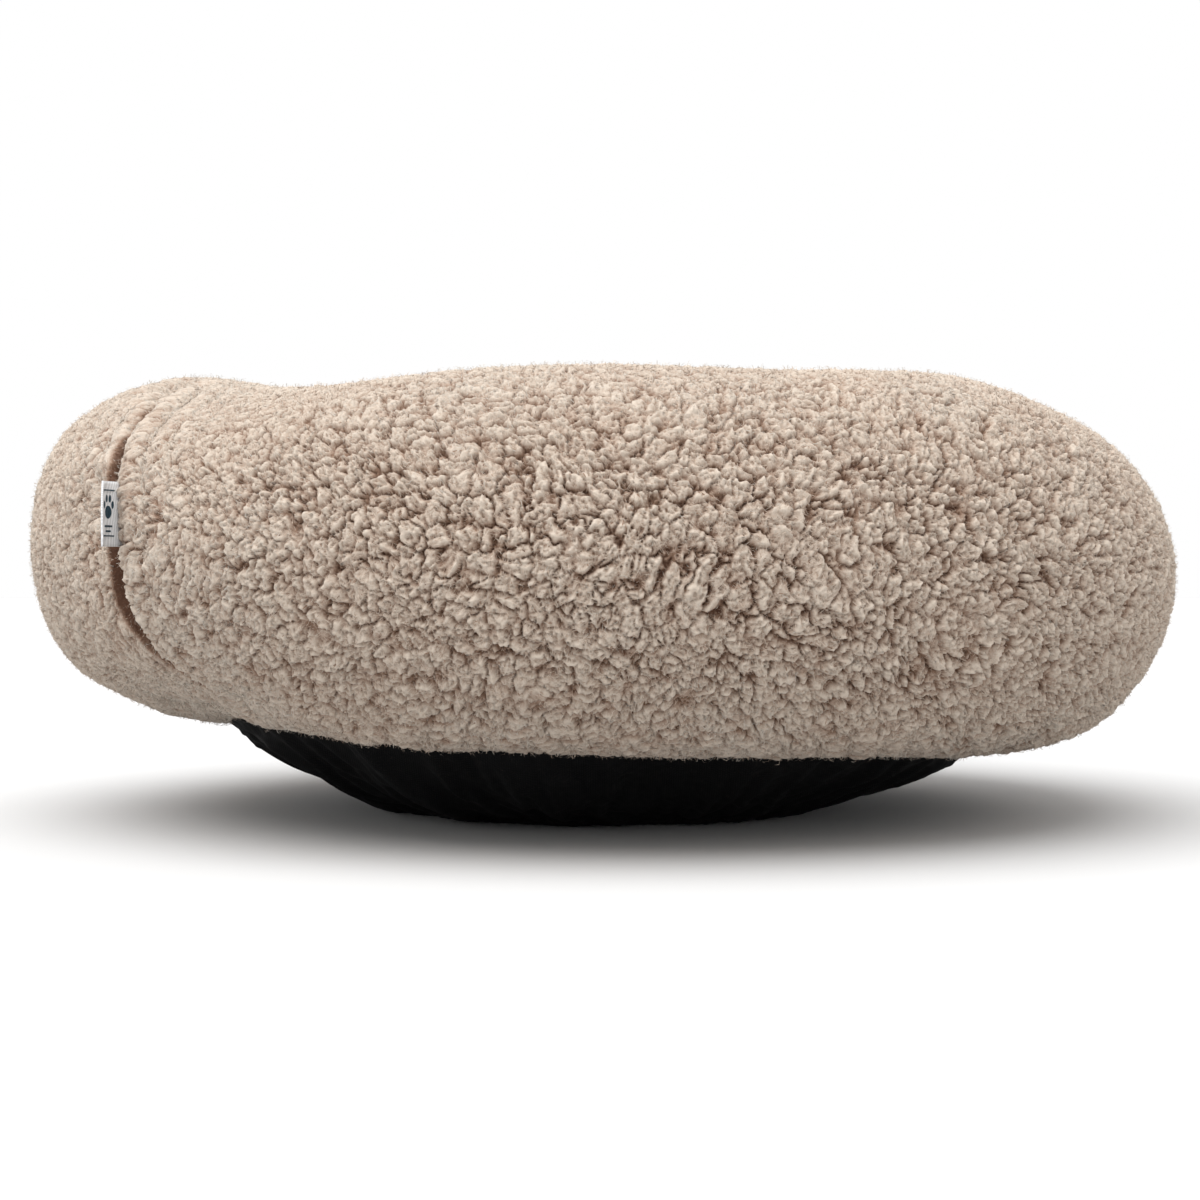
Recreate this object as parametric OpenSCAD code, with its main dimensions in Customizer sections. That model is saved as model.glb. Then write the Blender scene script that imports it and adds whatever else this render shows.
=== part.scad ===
// Round pet cushion bed: a stuffed fleece ring sewn onto a round base cushion.
// The ring lies in the XY plane, +Z is up, and the origin is the middle of the
// patch that rests on the floor. The front is -Y.

/* [Ring] */
// Outside diameter of the bed
bed_d = 500; // [440:5:560]
// Width of the stuffed ring, measured along a radius
ring_w = 162; // [140:1:180]
// Height of the stuffed ring
ring_h = 148; // [120:1:160]
// Height of the ring's underside above the floor
ring_lift = 36; // [30:1:45]

/* [Base cushion] */
// Diameter of the patch that touches the floor
floor_d = 156; // [120:1:200]
// Largest diameter that the base swells to, hidden behind the ring's underside
swell_d = 351; // [340:1:370]
// Height at which the base would reach its largest diameter
swell_z = 45; // [40:1:60]
// How full the base's flank is: 1 is a cone, 2 is an ellipse
flank_power = 1.35; // [1.1:0.05:2]
// Height of the middle of the sleeping surface above the floor
crown_z = 72; // [64:1:85]
// Diameter at which the sleeping surface meets the ring
well_d = 220; // [200:1:240]

/* [Fabrics] */
// Thickness of the teddy fleece with its pile
fleece_t = 6; // [4:0.5:9]
// Thickness of the woven underside
woven_t = 1.5; // [1:0.1:2.5]
// Space kept between two layers
gap = 0.6; // [0.3:0.1:1]

/* [Seams and labels] */
// Direction of the ring's cross seam, counted from +X
seam_angle = 220; // [180:1:240]
// Width of a seam allowance
allowance_w = 10; // [8:0.5:12]
// Thickness of a seam allowance's layers together
allowance_t = 3; // [2:0.5:4]
// Height of the folded side label
side_label_h = 25; // [20:1:35]
// How far the side label stands out of its seam
side_label_out = 13; // [10:1:18]
// Height of the side label's middle above the floor
side_label_z = 128; // [110:1:140]
// Width of the care label at the base seam
care_label_w = 25; // [20:1:30]
// Length of the care label below its seam
care_label_l = 25; // [18:1:27]
// Thickness of both labels
label_t = 1; // [0.8:0.1:1.5]
// Number of hand stitches that close the stuffing gap
stitch_n = 14; // [8:1:20]
// Distance from one stitch to the next
stitch_pitch = 8; // [6:0.5:10]
// Diameter of the thread
thread_d = 1; // [0.8:0.1:1.4]

/* [Hidden] */

$fn = 96;
ring_a = ring_w / 2;
ring_b = ring_h / 2;
ring_r = bed_d / 2 - ring_a;
ring_z = ring_lift + ring_b;
profile_n = 48;

// The base's outline and the two fabrics that meet at its seam
floor_r = floor_d / 2;
swell_r = swell_d / 2;
well_r = well_d / 2;
seam_z = ring_lift - 3;
seam_r = flank_r(seam_z);
hem_t = 2;
hem_w = 30;
crown_power = 2.5;
outline_n = 24;
filling_r = seam_r - 2 * allowance_w;
closing_angle = seam_angle + 180;

function clamp01(v) = min(1, max(0, v));

// Points of an ellipse with half-axes a and b
function ellipse(a, b) =
    [for (i = [0:profile_n - 1]) [a * cos(360 * i / profile_n), b * sin(360 * i / profile_n)]];

// Radius of the base's flank at height z
function flank_r(z) =
    floor_r + (swell_r - floor_r) * pow(1 - pow(1 - z / swell_z, flank_power), 1 / flank_power);

// Height of the ring's underside at radius r, one gap clear of it
function under_ring_z(r) =
    ring_z - (ring_b + gap) * sqrt(1 - pow((r - ring_r) / (ring_a + gap), 2));

// Height of the cushion's upper surface at radius r: a crown, then the hollow under the ring
function top_z(r) =
    r > well_r
        ? under_ring_z(r)
        : under_ring_z(well_r) + (crown_z - under_ring_z(well_r)) * (1 - pow(r / well_r, crown_power));

// Thickness of the top panel at radius r: full pile, trimmed down towards the hem
function top_t(r) =
    fleece_t - (fleece_t - hem_t) * pow(clamp01((r - seam_r + hem_w) / hem_w), 2);

function top_curve(drop) =
    [for (i = [0:outline_n]) let (r = seam_r * i / outline_n) [r, top_z(r) - drop * top_t(r)]];

// The flank from the floor patch up to height end_z, moved inwards and upwards by inset
function flank_curve(inset, end_z) =
    [for (i = [0:outline_n]) let (z = end_z * pow(i / outline_n, 2)) [flank_r(z) - inset, z + inset]];

function reversed(list) = [for (i = [len(list) - 1:-1:0]) list[i]];

// An elliptical slice of the ring, set upright in the radial plane at an angle
module radial_slice(angle, thickness) {
    rotate([0, 0, angle])
        translate([ring_r, 0, ring_z])
            rotate([90, 0, 0])
                linear_extrude(thickness, center = true)
                    children();
}

// Outline of a fold that runs round inside the cover at its cross seam
module cross_fold(clear) {
    outer = fleece_t + gap - clear;
    inner = fleece_t + gap + allowance_w + clear;
    difference() {
        polygon(ellipse(ring_a - outer, ring_b - outer));
        polygon(ellipse(ring_a - inner, ring_b - inner));
    }
}

// Outline of the fold along the ring's underside, inside the cover
module long_fold(clear) {
    fold_w = allowance_t + 2 * clear;
    fold_z = ring_lift + fleece_t + gap;
    translate([ring_r - fold_w / 2, fold_z - clear])
        square([fold_w, allowance_w + 2 * clear]);
}

module ring_cover() {
    color("tan")
        rotate_extrude()
            translate([ring_r, ring_z])
                difference() {
                    polygon(ellipse(ring_a, ring_b));
                    polygon(ellipse(ring_a - fleece_t, ring_b - fleece_t));
                }
}

module ring_filling() {
    inset = fleece_t + gap;
    color("ivory")
        difference() {
            rotate_extrude()
                difference() {
                    translate([ring_r, ring_z])
                        polygon(ellipse(ring_a - inset, ring_b - inset));
                    long_fold(gap);
                }
            radial_slice(seam_angle, allowance_t + 2 * gap)
                cross_fold(gap);
        }
}

module ring_cross_seam() {
    notch_w = allowance_t + 2 * gap;
    color("saddlebrown")
        radial_slice(seam_angle, allowance_t)
            difference() {
                cross_fold(0);
                translate([-notch_w / 2, -ring_b])
                    square([notch_w, ring_b]);
            }
}

module ring_long_seam() {
    color("saddlebrown")
        rotate_extrude()
            long_fold(0);
}

module cushion_top_panel() {
    color("tan")
        rotate_extrude()
            polygon(concat(top_curve(0), reversed(top_curve(1))));
}

module cushion_filling() {
    inset = woven_t + gap;
    clear_top = [for (p = top_curve(1)) [p[0], p[1] - gap]];
    color("ivory")
        rotate_extrude()
            intersection() {
                polygon(concat([[0, inset]], flank_curve(inset, seam_z), reversed(clear_top)));
                square([filling_r, crown_z]);
            }
}

module base_panel() {
    end_z = seam_z;
    color("black")
        rotate_extrude()
            polygon(concat(
                [[0, 0]],
                flank_curve(0, end_z),
                reversed(flank_curve(woven_t, end_z - woven_t)),
                [[0, woven_t]]
            ));
}

module base_seam() {
    strip_t = woven_t;
    strip_z = seam_z - woven_t - strip_t + gap;
    color("dimgray")
        rotate_extrude()
            translate([filling_r + gap, strip_z])
                square([allowance_w, strip_t]);
}

module side_label() {
    color("white")
        radial_slice(seam_angle, label_t)
            intersection() {
                difference() {
                    polygon(ellipse(ring_a + side_label_out, ring_b + side_label_out));
                    polygon(ellipse(ring_a + gap, ring_b + gap));
                }
                translate([0, side_label_z - ring_z - side_label_h / 2])
                    square([bed_d / 2, side_label_h]);
            }
}

module care_label() {
    label_x = seam_r + 2 * label_t;
    color("white")
        rotate([0, 0, closing_angle])
            translate([label_x, -care_label_w / 2, seam_z - care_label_l])
                cube([label_t, care_label_w, care_label_l]);
}

// Slanted stitches side by side along the base seam, outside the care label
module closing_stitches() {
    stitch_l = 5;
    stitch_slant = 25;
    stitch_x = seam_r + 4 * label_t;
    step_angle = stitch_pitch / stitch_x * 180 / PI;
    color("dimgray")
        for (i = [0:stitch_n - 1])
            rotate([0, 0, closing_angle + (i - (stitch_n - 1) / 2) * step_angle])
                translate([stitch_x, 0, seam_z - stitch_l / 2])
                    rotate([stitch_slant, 0, 0])
                        cylinder(h = stitch_l, d = thread_d, center = true, $fn = 24);
}

ring_cover();
ring_filling();
ring_cross_seam();
ring_long_seam();
cushion_top_panel();
cushion_filling();
base_panel();
base_seam();
side_label();
care_label();
closing_stitches();
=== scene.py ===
"""Round pet cushion bed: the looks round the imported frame. Metres, +Z up, the front is -Y."""

import math
from concurrent.futures import ThreadPoolExecutor

import bpy
import numpy as np
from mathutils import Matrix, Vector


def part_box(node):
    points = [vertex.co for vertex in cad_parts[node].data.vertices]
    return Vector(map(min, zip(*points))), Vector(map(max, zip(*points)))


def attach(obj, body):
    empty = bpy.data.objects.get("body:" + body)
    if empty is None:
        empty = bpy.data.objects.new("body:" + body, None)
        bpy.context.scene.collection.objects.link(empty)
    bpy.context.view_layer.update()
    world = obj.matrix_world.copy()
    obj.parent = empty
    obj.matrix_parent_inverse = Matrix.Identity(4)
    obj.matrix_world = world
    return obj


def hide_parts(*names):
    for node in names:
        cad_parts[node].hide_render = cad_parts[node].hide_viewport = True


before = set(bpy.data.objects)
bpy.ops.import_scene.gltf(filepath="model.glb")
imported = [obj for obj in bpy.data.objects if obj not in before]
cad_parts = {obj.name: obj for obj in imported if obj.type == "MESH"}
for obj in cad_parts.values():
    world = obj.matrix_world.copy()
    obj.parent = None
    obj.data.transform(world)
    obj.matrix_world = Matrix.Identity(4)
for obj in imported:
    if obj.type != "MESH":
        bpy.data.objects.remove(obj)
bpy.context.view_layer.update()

MM = 0.001
TAU = 2 * math.pi

# ---------------------------------------------------------------- sizes, from the frame
ring_low, ring_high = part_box("ring_cover")
_, fold_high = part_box("ring_long_seam")
label_low, label_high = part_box("side_label")
care_low, care_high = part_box("care_label")
_, base_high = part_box("base_panel")
_, top_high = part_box("cushion_top_panel")
FOLD_HALF = 1.5 * MM
RING_R = fold_high.x - FOLD_HALF
RING_A = ring_high.x - RING_R
RING_B = (ring_high.z - ring_low.z) / 2
RING_Z = (ring_high.z + ring_low.z) / 2
SEAM_ANGLE = math.atan2(label_low.y + label_high.y, label_low.x + label_high.x)
LABEL_Z = (label_low.z + label_high.z) / 2
LABEL_H = label_high.z - label_low.z
REAR_ANGLE = SEAM_ANGLE + math.pi
RIM_R = base_high.x
RIM_Z = base_high.z
CROWN_Z = top_high.z

# The base's flank, by the same rule as in the CAD
FLOOR_R = 78 * MM
SWELL_R = 175.5 * MM
SWELL_Z = 45 * MM
FLANK_POWER = 1.35
WELL_R = 110 * MM
TUCK = 6 * MM
CROWN_POWER = 2.5

# How the stuffed ring differs from the CAD's even one
RING_LIFT = -0.3 * MM
RIGHT_LEAN = 5.5 * MM
SEAM_PINCH = 7.5 * MM
LEFT_BULGE = 5 * MM
LEFT_SHOULDER = 3.5 * MM
UNDER_SEAM = -7 * MM
UNDER_FRONT = 2.5 * MM
LEFT_SIDE = 2 * MM
LEFT_CREST = 4 * MM
RIGHT_CREST = 4.5 * MM
RIGHT_BULGE = -1.0 * MM
PINCH_AT = 0.10
PINCH_WIDTH = 0.42

# How far the cross seam has slipped round the ring: at its side, above and below
SLIP_SIDE = math.radians(1.5)
SLIP_ABOVE = math.radians(14)
SLIP_BELOW = math.radians(2.2)

# Where its groove lies open, and how far that reaches above and below, as tube angles
OPEN_AT = -0.12
OPEN_ABOVE = 1.05
OPEN_BELOW = 0.62

# Measures of the groove in mm, and how much painted shade darkens its colour: where it is closed, and
# what opening adds
GROOVE_WALL = (1.0, 7.5)
GROOVE_FALL = (2.2, 1.6)
GROOVE_DEPTH = (3.6, 2.6)
GROOVE_LIP = (0.6, 1.4)
GROOVE_PAINTED_SHADE = (0.60, 0.38)
GROOVE_FLATTER = 0.85
GROOVE_THINNER = 0.6

# The fleece
PILE = 6.0 * MM
PILE_HEIGHT = 5.6 * MM
RELIEF = 0.85
MEAN_LEVEL = 0.80
CURL = 7.0 * MM
LUMP = 3.6 * MM
CURL_BORDER = 0.09
LUMP_BORDER = 0.17
BREAK_SIZE = 4 * MM
CREASE_SIZE = 4.6 * MM
CREASE_WIDTH = 0.08
CREASE_DEPTH = 0.36
RIDGE_SIZE = 1.9 * MM
RIDGE_WIDTH = 0.4
RIDGE_RISE = 0.23
GRAIN_SIZE = 1.1 * MM
GRAIN_RISE = 0.11
DRIFT_SIZE = 30 * MM
DRIFT_REACH = 8 * MM
RING_STEPS = 2500
TUBE_STEPS = 800
TOP_STEPS = 1200
TOP_ROWS = 260
CHUNK = 30000

# How much flatter the pile lies than on the outer face
BRUSHED = 0.50
LEFT_PANEL_FLATTER = 0.44
SEAM_FLATTER = 0.38
RIGHT_END_FLATTER = 0.5

# The fibres: lengths, heights and half widths in mm
RING_FIBRES = 768000
TOP_FIBRES = 62000
PILE_PIECES = 12
FLY_SHARE = 0.11
STRAY_SHARE = 0.12
FIBRE_LENGTH = (2.0, 4.8)
FLY_LENGTH = (1.4, 3.0)
FIBRE_STAND = (0.02, 0.34)
FLY_STAND = (0.7, 2.2)
FIBRE_HALF = (0.08, 0.16)
FLY_THINNER = 0.65

# Seeds of the random fields and draws
SEED = {
    "curl": 5,
    "lump": 9,
    "warp": 21,
    "fine_warp": 25,
    "finest_warp": 28,
    "drift": 31,
    "break": 35,
    "grain": 41,
    "crease": 51,
    "ridge": 55,
    "patch": 61,
    "tuft": 71,
    "fine_tuft": 75,
    "pleat": 81,
    "warmth": 91,
    "groove": 95,
    "ring_pile": 7,
    "cushion_pile": 17,
}

# The labels and the stitches
LABEL_ROOT = 8 * MM
LABEL_REACH = LABEL_ROOT + 12.5 * MM
CARE_REACH = 30 * MM
LAYER_GAP = 0.35 * MM
RIBBON_T = 0.25 * MM
STITCHES = 14
STITCH_PITCH = 8 * MM
STITCH_L = 6 * MM
THREAD_R = 0.5 * MM

# Blender's wave texture turns by this many radians in one unit
WAVE_RATE = 20


# ---------------------------------------------------------------- fields
def clamp01(v):
    return np.clip(v, 0.0, 1.0)


def smooth(edge0, edge1, v):
    """Smooth step from 0 at edge0 to 1 at edge1."""
    t = clamp01((v - edge0) / (edge1 - edge0))
    return t * t * (3 - 2 * t)


def smooth_degrees(edge0, edge1, angle):
    """Smooth step of an angle in radians, with its edges in degrees."""
    return smooth(math.radians(edge0), math.radians(edge1), angle)


def hump(v, middle, width):
    """Bell curve that is 1 at the middle."""
    return np.exp(-(((v - middle) / width) ** 2))


def wrapped(angle):
    """The angle brought into -pi to pi."""
    return (angle + math.pi) % TAU - math.pi


def hashed(cx, cy, cz, seed):
    """Random numbers from 0 to 1, one for each integer cell."""
    h = cx.astype(np.uint32) * np.uint32(0x8DA6B343)
    h ^= cy.astype(np.uint32) * np.uint32(0xD8163841)
    h ^= cz.astype(np.uint32) * np.uint32(0xCB1AB31F)
    h ^= np.uint32((seed * 0x9E3779B1) & 0xFFFFFFFF)
    h = (h ^ (h >> np.uint32(15))) * np.uint32(0x2C1B3C6D)
    h = (h ^ (h >> np.uint32(12))) * np.uint32(0x297A2D39)
    h ^= h >> np.uint32(15)
    return (h >> np.uint32(8)).astype(np.float32) / np.float32(1 << 24)


def noise(points, size, seed):
    """Smooth random field from -1 to 1 with features of about the given size."""
    q = points / size + 1000.0
    cell = np.floor(q)
    f = (q - cell).astype(np.float32)
    f = f * f * f * (f * (f * 6 - 15) + 10)
    cell = cell.astype(np.int32)
    total = np.zeros(len(points), np.float32)
    for i in (0, 1):
        wx = f[:, 0] if i else 1 - f[:, 0]
        for j in (0, 1):
            wy = f[:, 1] if j else 1 - f[:, 1]
            for k in (0, 1):
                wz = f[:, 2] if k else 1 - f[:, 2]
                total += wx * wy * wz * hashed(cell[:, 0] + i, cell[:, 1] + j, cell[:, 2] + k, seed)
    return total * 2 - 1


def noise_vector(points, size, seed):
    return np.stack([noise(points, size, seed + axis) for axis in range(3)], 1)


def cells(points, size, seed):
    """Distances to the nearest and second nearest of scattered centres, in cell sizes,
    the nearest centre's place, and a random number of its own."""
    q = points / size + 1000.0
    base = np.floor(q).astype(np.int32)
    n = len(points)
    near = np.full(n, 9.0, np.float32)
    second = np.full(n, 9.0, np.float32)
    centre = np.zeros((n, 3), np.float32)
    tone = np.zeros(n, np.float32)
    local = (q - base).astype(np.float32)
    for i in (-1, 0, 1):
        for j in (-1, 0, 1):
            for k in (-1, 0, 1):
                c = (base[:, 0] + i, base[:, 1] + j, base[:, 2] + k)
                spot = np.stack([hashed(*c, seed + s) for s in range(3)], 1)
                own = spot[:, 0].copy()
                spot += np.array([i, j, k], np.float32)
                d = np.sqrt(((spot - local) ** 2).sum(1))
                closer = d < near
                second = np.where(closer, near, np.minimum(second, d))
                centre[closer] = spot[closer]
                tone = np.where(closer, own, tone)
                near = np.where(closer, d, near)
    centre = (centre + (base - 1000.0)) * size
    return near, second, centre, tone


def border(near, second, width):
    """1 on the border between two cells, falling off over a width in cell sizes."""
    return np.exp(-(((second - near) / width) ** 1.2))


def fleece(points, along, across, strength):
    """The curled pile at each point: its height from 0 to about 1, the direction its curl is
    combed in, how far forward in the curl the point lies, and the curl's own random number."""
    drift = noise_vector(points, DRIFT_SIZE, SEED["drift"]) * DRIFT_REACH
    warp = noise_vector(points, 5 * MM, SEED["warp"]) * (1.5 * MM)
    warp += noise_vector(points, 2.4 * MM, SEED["fine_warp"]) * (0.9 * MM)
    warp += noise_vector(points, 1.3 * MM, SEED["finest_warp"]) * (0.35 * MM)
    p = points + warp + drift
    near, second, centre, tone = cells(p, CURL, SEED["curl"])
    spin = np.mod(tone * 57.31, 1.0) * TAU
    away = p - centre
    reach = (away * along).sum(1) * np.cos(spin) + (away * across).sum(1) * np.sin(spin)
    reach = (reach / CURL).astype(np.float32)
    part = smooth(-0.35, 0.30, noise(p, BREAK_SIZE, SEED["break"]))
    gap = border(near, second, CURL_BORDER)
    dome = 1 - gap * (0.50 + 0.50 * part) * smooth(0.1, 0.6, strength)
    near, second, _, lump_tone = cells(p, LUMP, SEED["lump"])
    lump = (1 - border(near, second, LUMP_BORDER)) * (0.8 + 0.2 * lump_tone)
    body = dome * (0.86 + 0.08 * tone + 0.20 * reach) * (0.66 + 0.34 * lump)
    crease = np.exp(-((noise(p, CREASE_SIZE, SEED["crease"]) / CREASE_WIDTH) ** 2))
    ridge = 1 - np.minimum(1, np.abs(noise(p, RIDGE_SIZE, SEED["ridge"])) / RIDGE_WIDTH)
    grain = noise(points, GRAIN_SIZE, SEED["grain"])
    level = body * (1 - CREASE_DEPTH * crease) + (RIDGE_RISE * ridge + GRAIN_RISE * grain) * dome
    return level, spin, reach, tone


def in_parallel(field, *arrays):
    """The field's results over whole arrays, worked out in chunks on all cores."""
    chunks = max(1, len(arrays[0]) // CHUNK)
    parts = [np.array_split(a, chunks) for a in arrays]
    with ThreadPoolExecutor() as pool:
        results = list(pool.map(field, *parts))
    return [np.concatenate(r) for r in zip(*results, strict=True)]


# ---------------------------------------------------------------- meshes
def grid_faces(nu, nv, closed_v=False):
    """Quads of a grid that is closed along u, and along v too where closed_v says so."""
    rows = nv if closed_v else nv - 1
    i, j = np.meshgrid(np.arange(nu), np.arange(rows), indexing="ij")
    i2 = (i + 1) % nu
    j2 = (j + 1) % nv
    return np.stack([i * nv + j, i2 * nv + j, i2 * nv + j2, i * nv + j2], -1).reshape(-1, 4)


def add_piece(name, mesh):
    """The object that shows a mesh, riding on the root body."""
    piece = bpy.data.objects.new(name, mesh)
    bpy.context.scene.collection.objects.link(piece)
    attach(piece, "root")
    return piece


def new_piece(name, points, faces, materials):
    """A piece made from arrays of points and faces."""
    mesh = bpy.data.meshes.new(name)
    corners = faces.shape[1]
    mesh.vertices.add(len(points))
    mesh.vertices.foreach_set("co", np.asarray(points, np.float32).ravel())
    mesh.loops.add(faces.size)
    mesh.loops.foreach_set("vertex_index", faces.ravel().astype(np.int32))
    mesh.polygons.add(len(faces))
    mesh.polygons.foreach_set("loop_start", np.arange(0, faces.size, corners, dtype=np.int32))
    mesh.polygons.foreach_set("use_smooth", np.ones(len(faces), bool))
    mesh.update(calc_edges=True)
    for m in materials:
        mesh.materials.append(m)
    return add_piece(name, mesh)


def lay_flat(piece, nu, nv, closed_v):
    """A UV map that follows the grid, so that the exporter's bake has no islands to find."""
    rows = nv if closed_v else nv - 1
    i, j = np.meshgrid(np.arange(nu), np.arange(rows), indexing="ij")
    corners = [(i, j), (i + 1, j), (i + 1, j + 1), (i, j + 1)]
    uv = np.stack([np.stack([a / nu, b / rows], -1) for a, b in corners], 2)
    layer = piece.data.uv_layers.new(name="OFBake")
    layer.data.foreach_set("uv", uv.astype(np.float32).ravel())


def give(piece, name, values):
    """Stores one number for each vertex."""
    attribute = piece.data.attributes.new(name, "FLOAT", "POINT")
    attribute.data.foreach_set("value", np.asarray(values, np.float32).ravel())


def grid_normals(place, closed_v):
    """Unit normals of a grid of points that is closed along u."""
    along = np.roll(place, -1, 0) - np.roll(place, 1, 0)
    across = np.roll(place, -1, 1) - np.roll(place, 1, 1)
    if not closed_v:
        across[:, 0] = place[:, 1] - place[:, 0]
        across[:, -1] = place[:, -1] - place[:, -2]
    normal = np.cross(along, across)
    return normal / (np.linalg.norm(normal, axis=-1, keepdims=True) + 1e-12)


def finer(values, nu, nv):
    """A grid closed both ways, resampled to nu by nv smooth values."""
    mu, mv = values.shape[:2]
    spectrum = np.fft.fft2(values, axes=(0, 1))
    padded = np.zeros((nu, nv, values.shape[2]), complex)
    fu = np.fft.fftfreq(mu, 1 / mu).astype(int) % nu
    fv = np.fft.fftfreq(mv, 1 / mv).astype(int) % nv
    padded[np.ix_(fu, fv)] = spectrum
    return np.fft.ifft2(padded, axes=(0, 1)).real * (nu * nv) / (mu * mv)


def finer_rows(values, nu, rows):
    """A grid closed along u only, resampled to nu by rows smooth values."""
    mirrored = np.concatenate([values, values[:, -2:0:-1]], 1)
    double = finer(mirrored, nu, 2 * rows)
    span = (values.shape[1] - 1) / mirrored.shape[1] * 2 * rows
    at = np.linspace(0, span, rows)
    low = np.floor(at).astype(int)
    part = (at - low)[None, :, None]
    return double[:, low] * (1 - part) + double[:, (low + 1) % (2 * rows)] * part


def sample(grid, fu, fv, closed_v):
    """Bilinear values of a grid that is closed along u, at fractional places."""
    nu, nv = grid.shape[:2]
    if not closed_v:
        fv = np.clip(fv, 0, nv - 1.001)
    i0 = np.floor(fu).astype(np.int64)
    j0 = np.floor(fv).astype(np.int64)
    wu = (fu - i0)[:, None]
    wv = (fv - j0)[:, None]
    i0 %= nu
    j0 %= nv
    i1 = (i0 + 1) % nu
    j1 = (j0 + 1) % nv
    g = grid.reshape(nu, nv, -1)
    near = g[i0, j0] * (1 - wu) + g[i1, j0] * wu
    far = g[i0, j1] * (1 - wu) + g[i1, j1] * wu
    return near * (1 - wv) + far * wv


def puffed(points, faces, pinned, pressure, growth, steps=20):
    """Where the points of a closed cloth lie after it is blown up and its cloth has room to crease."""
    mesh = bpy.data.meshes.new("cloth")
    mesh.from_pydata(points.tolist(), [], faces.tolist())
    cloth = bpy.data.objects.new("cloth", mesh)
    bpy.context.scene.collection.objects.link(cloth)
    group = cloth.vertex_groups.new(name="pinned")
    group.add([int(i) for i in pinned], 1.0, "REPLACE")
    modifier = cloth.modifiers.new("cloth", "CLOTH")
    settings = modifier.settings
    settings.quality = 5
    settings.mass = 0.15
    settings.tension_stiffness = 15
    settings.compression_stiffness = 15
    settings.shear_stiffness = 5
    settings.bending_stiffness = 0.2
    settings.use_pressure = True
    settings.uniform_pressure_force = pressure
    settings.effector_weights.gravity = 0
    settings.vertex_group_mass = "pinned"
    settings.shrink_min = -growth
    modifier.collision_settings.use_collision = False
    modifier.point_cache.frame_start = 1
    modifier.point_cache.frame_end = steps
    for step in range(1, steps + 1):
        bpy.context.scene.frame_set(step)
    shown = cloth.evaluated_get(bpy.context.evaluated_depsgraph_get()).data
    co = np.empty(len(points) * 3, np.float32)
    shown.vertices.foreach_get("co", co)
    bpy.data.objects.remove(cloth)
    bpy.data.meshes.remove(mesh)
    bpy.context.scene.frame_set(1)
    return co.reshape(-1, 3)


def creases(start, end, normal, cap):
    """What a simulation adds to a grid: each row keeps its mean place, and no point moves past cap."""
    moved = end - start
    out = (moved * normal).sum(-1, keepdims=True)
    moved = moved - out.mean(0, keepdims=True) * normal
    size = np.linalg.norm(moved, axis=-1, keepdims=True)
    return moved * np.minimum(1, cap / (size + 1e-9))


# ---------------------------------------------------------------- materials
def linear(r, g, b):
    """An sRGB colour from 0 to 255 as linear RGBA."""
    out = []
    for c in (r, g, b):
        c /= 255
        out.append(c / 12.92 if c <= 0.04045 else ((c + 0.055) / 1.055) ** 2.4)
    return (*out, 1.0)


def material(name, roughness, sheen=0.0, specular=0.15):
    m = bpy.data.materials.new(name)
    m.use_nodes = True
    shader = m.node_tree.nodes["Principled BSDF"]
    shader.inputs["Roughness"].default_value = roughness
    shader.inputs["Specular IOR Level"].default_value = specular
    shader.inputs["Sheen Weight"].default_value = sheen
    return m, m.node_tree, shader


def ramp_node(tree, stops):
    ramp = tree.nodes.new("ShaderNodeValToRGB")
    elements = ramp.color_ramp.elements
    for element, (position, colour) in zip(elements, (stops[0], stops[-1]), strict=True):
        element.position = position
        element.color = colour
    for position, colour in stops[1:-1]:
        elements.new(position).color = colour
    return ramp


def coordinates(tree):
    """The socket of the object coordinates."""
    return tree.nodes.new("ShaderNodeTexCoord").outputs["Object"]


def noise_node(tree, scale, detail=2.0):
    node = tree.nodes.new("ShaderNodeTexNoise")
    node.inputs["Scale"].default_value = scale
    node.inputs["Detail"].default_value = detail
    tree.links.new(coordinates(tree), node.inputs["Vector"])
    return node.outputs["Fac"]


def math_node(tree, operation, a, b):
    node = tree.nodes.new("ShaderNodeMath")
    node.operation = operation
    for socket, value in zip(node.inputs, (a, b), strict=False):
        if isinstance(value, (int, float)):
            socket.default_value = value
        else:
            tree.links.new(value, socket)
    return node.outputs[0]


def bump(tree, shader, height, distance):
    node = tree.nodes.new("ShaderNodeBump")
    node.inputs["Distance"].default_value = distance
    node.inputs["Strength"].default_value = 1.0
    tree.links.new(height, node.inputs["Height"])
    tree.links.new(node.outputs["Normal"], shader.inputs["Normal"])


def fleece_material():
    """The pile's body: dark reddish roots in the crevices, pale tips, fibre-fine grain. The dark in the
    crevices is partly the roots' own colour and partly painted shade.
    """
    m, tree, shader = material("fleece_core", 1.0, 0.08, 0.08)
    depth = tree.nodes.new("ShaderNodeAttribute")
    depth.attribute_name = "depth"
    grain = noise_node(tree, 1 / (0.8 * MM), 3)
    lift = math_node(tree, "MULTIPLY", math_node(tree, "SUBTRACT", grain, 0.5), 0.45)
    level = math_node(tree, "ADD", depth.outputs["Fac"], lift)
    # Partly painted shade: the colour darkens where the pile lies low in the crevices, besides the
    # roots' own darker tone
    ramp = ramp_node(
        tree,
        [
            (0.05, linear(84, 59, 46)),
            (0.35, linear(136, 111, 94)),
            (0.62, linear(172, 154, 139)),
            (0.95, linear(196, 183, 169)),
        ],
    )
    tree.links.new(level, ramp.inputs["Fac"])
    tree.links.new(ramp.outputs["Color"], shader.inputs["Base Color"])
    bump(tree, shader, grain, 0.45 * MM)
    return m


# Five tones from root to tip, each in a warm and in a greyer shade; the darker ones go to fibres low in
# the crevices, partly as painted shade
FIBRE_TONES = [
    [(96, 68, 52), (142, 114, 95), (170, 149, 132), (188, 169, 153), (203, 188, 173)],
    [(95, 73, 61), (137, 118, 103), (163, 150, 138), (181, 171, 159), (197, 190, 180)],
]


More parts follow.
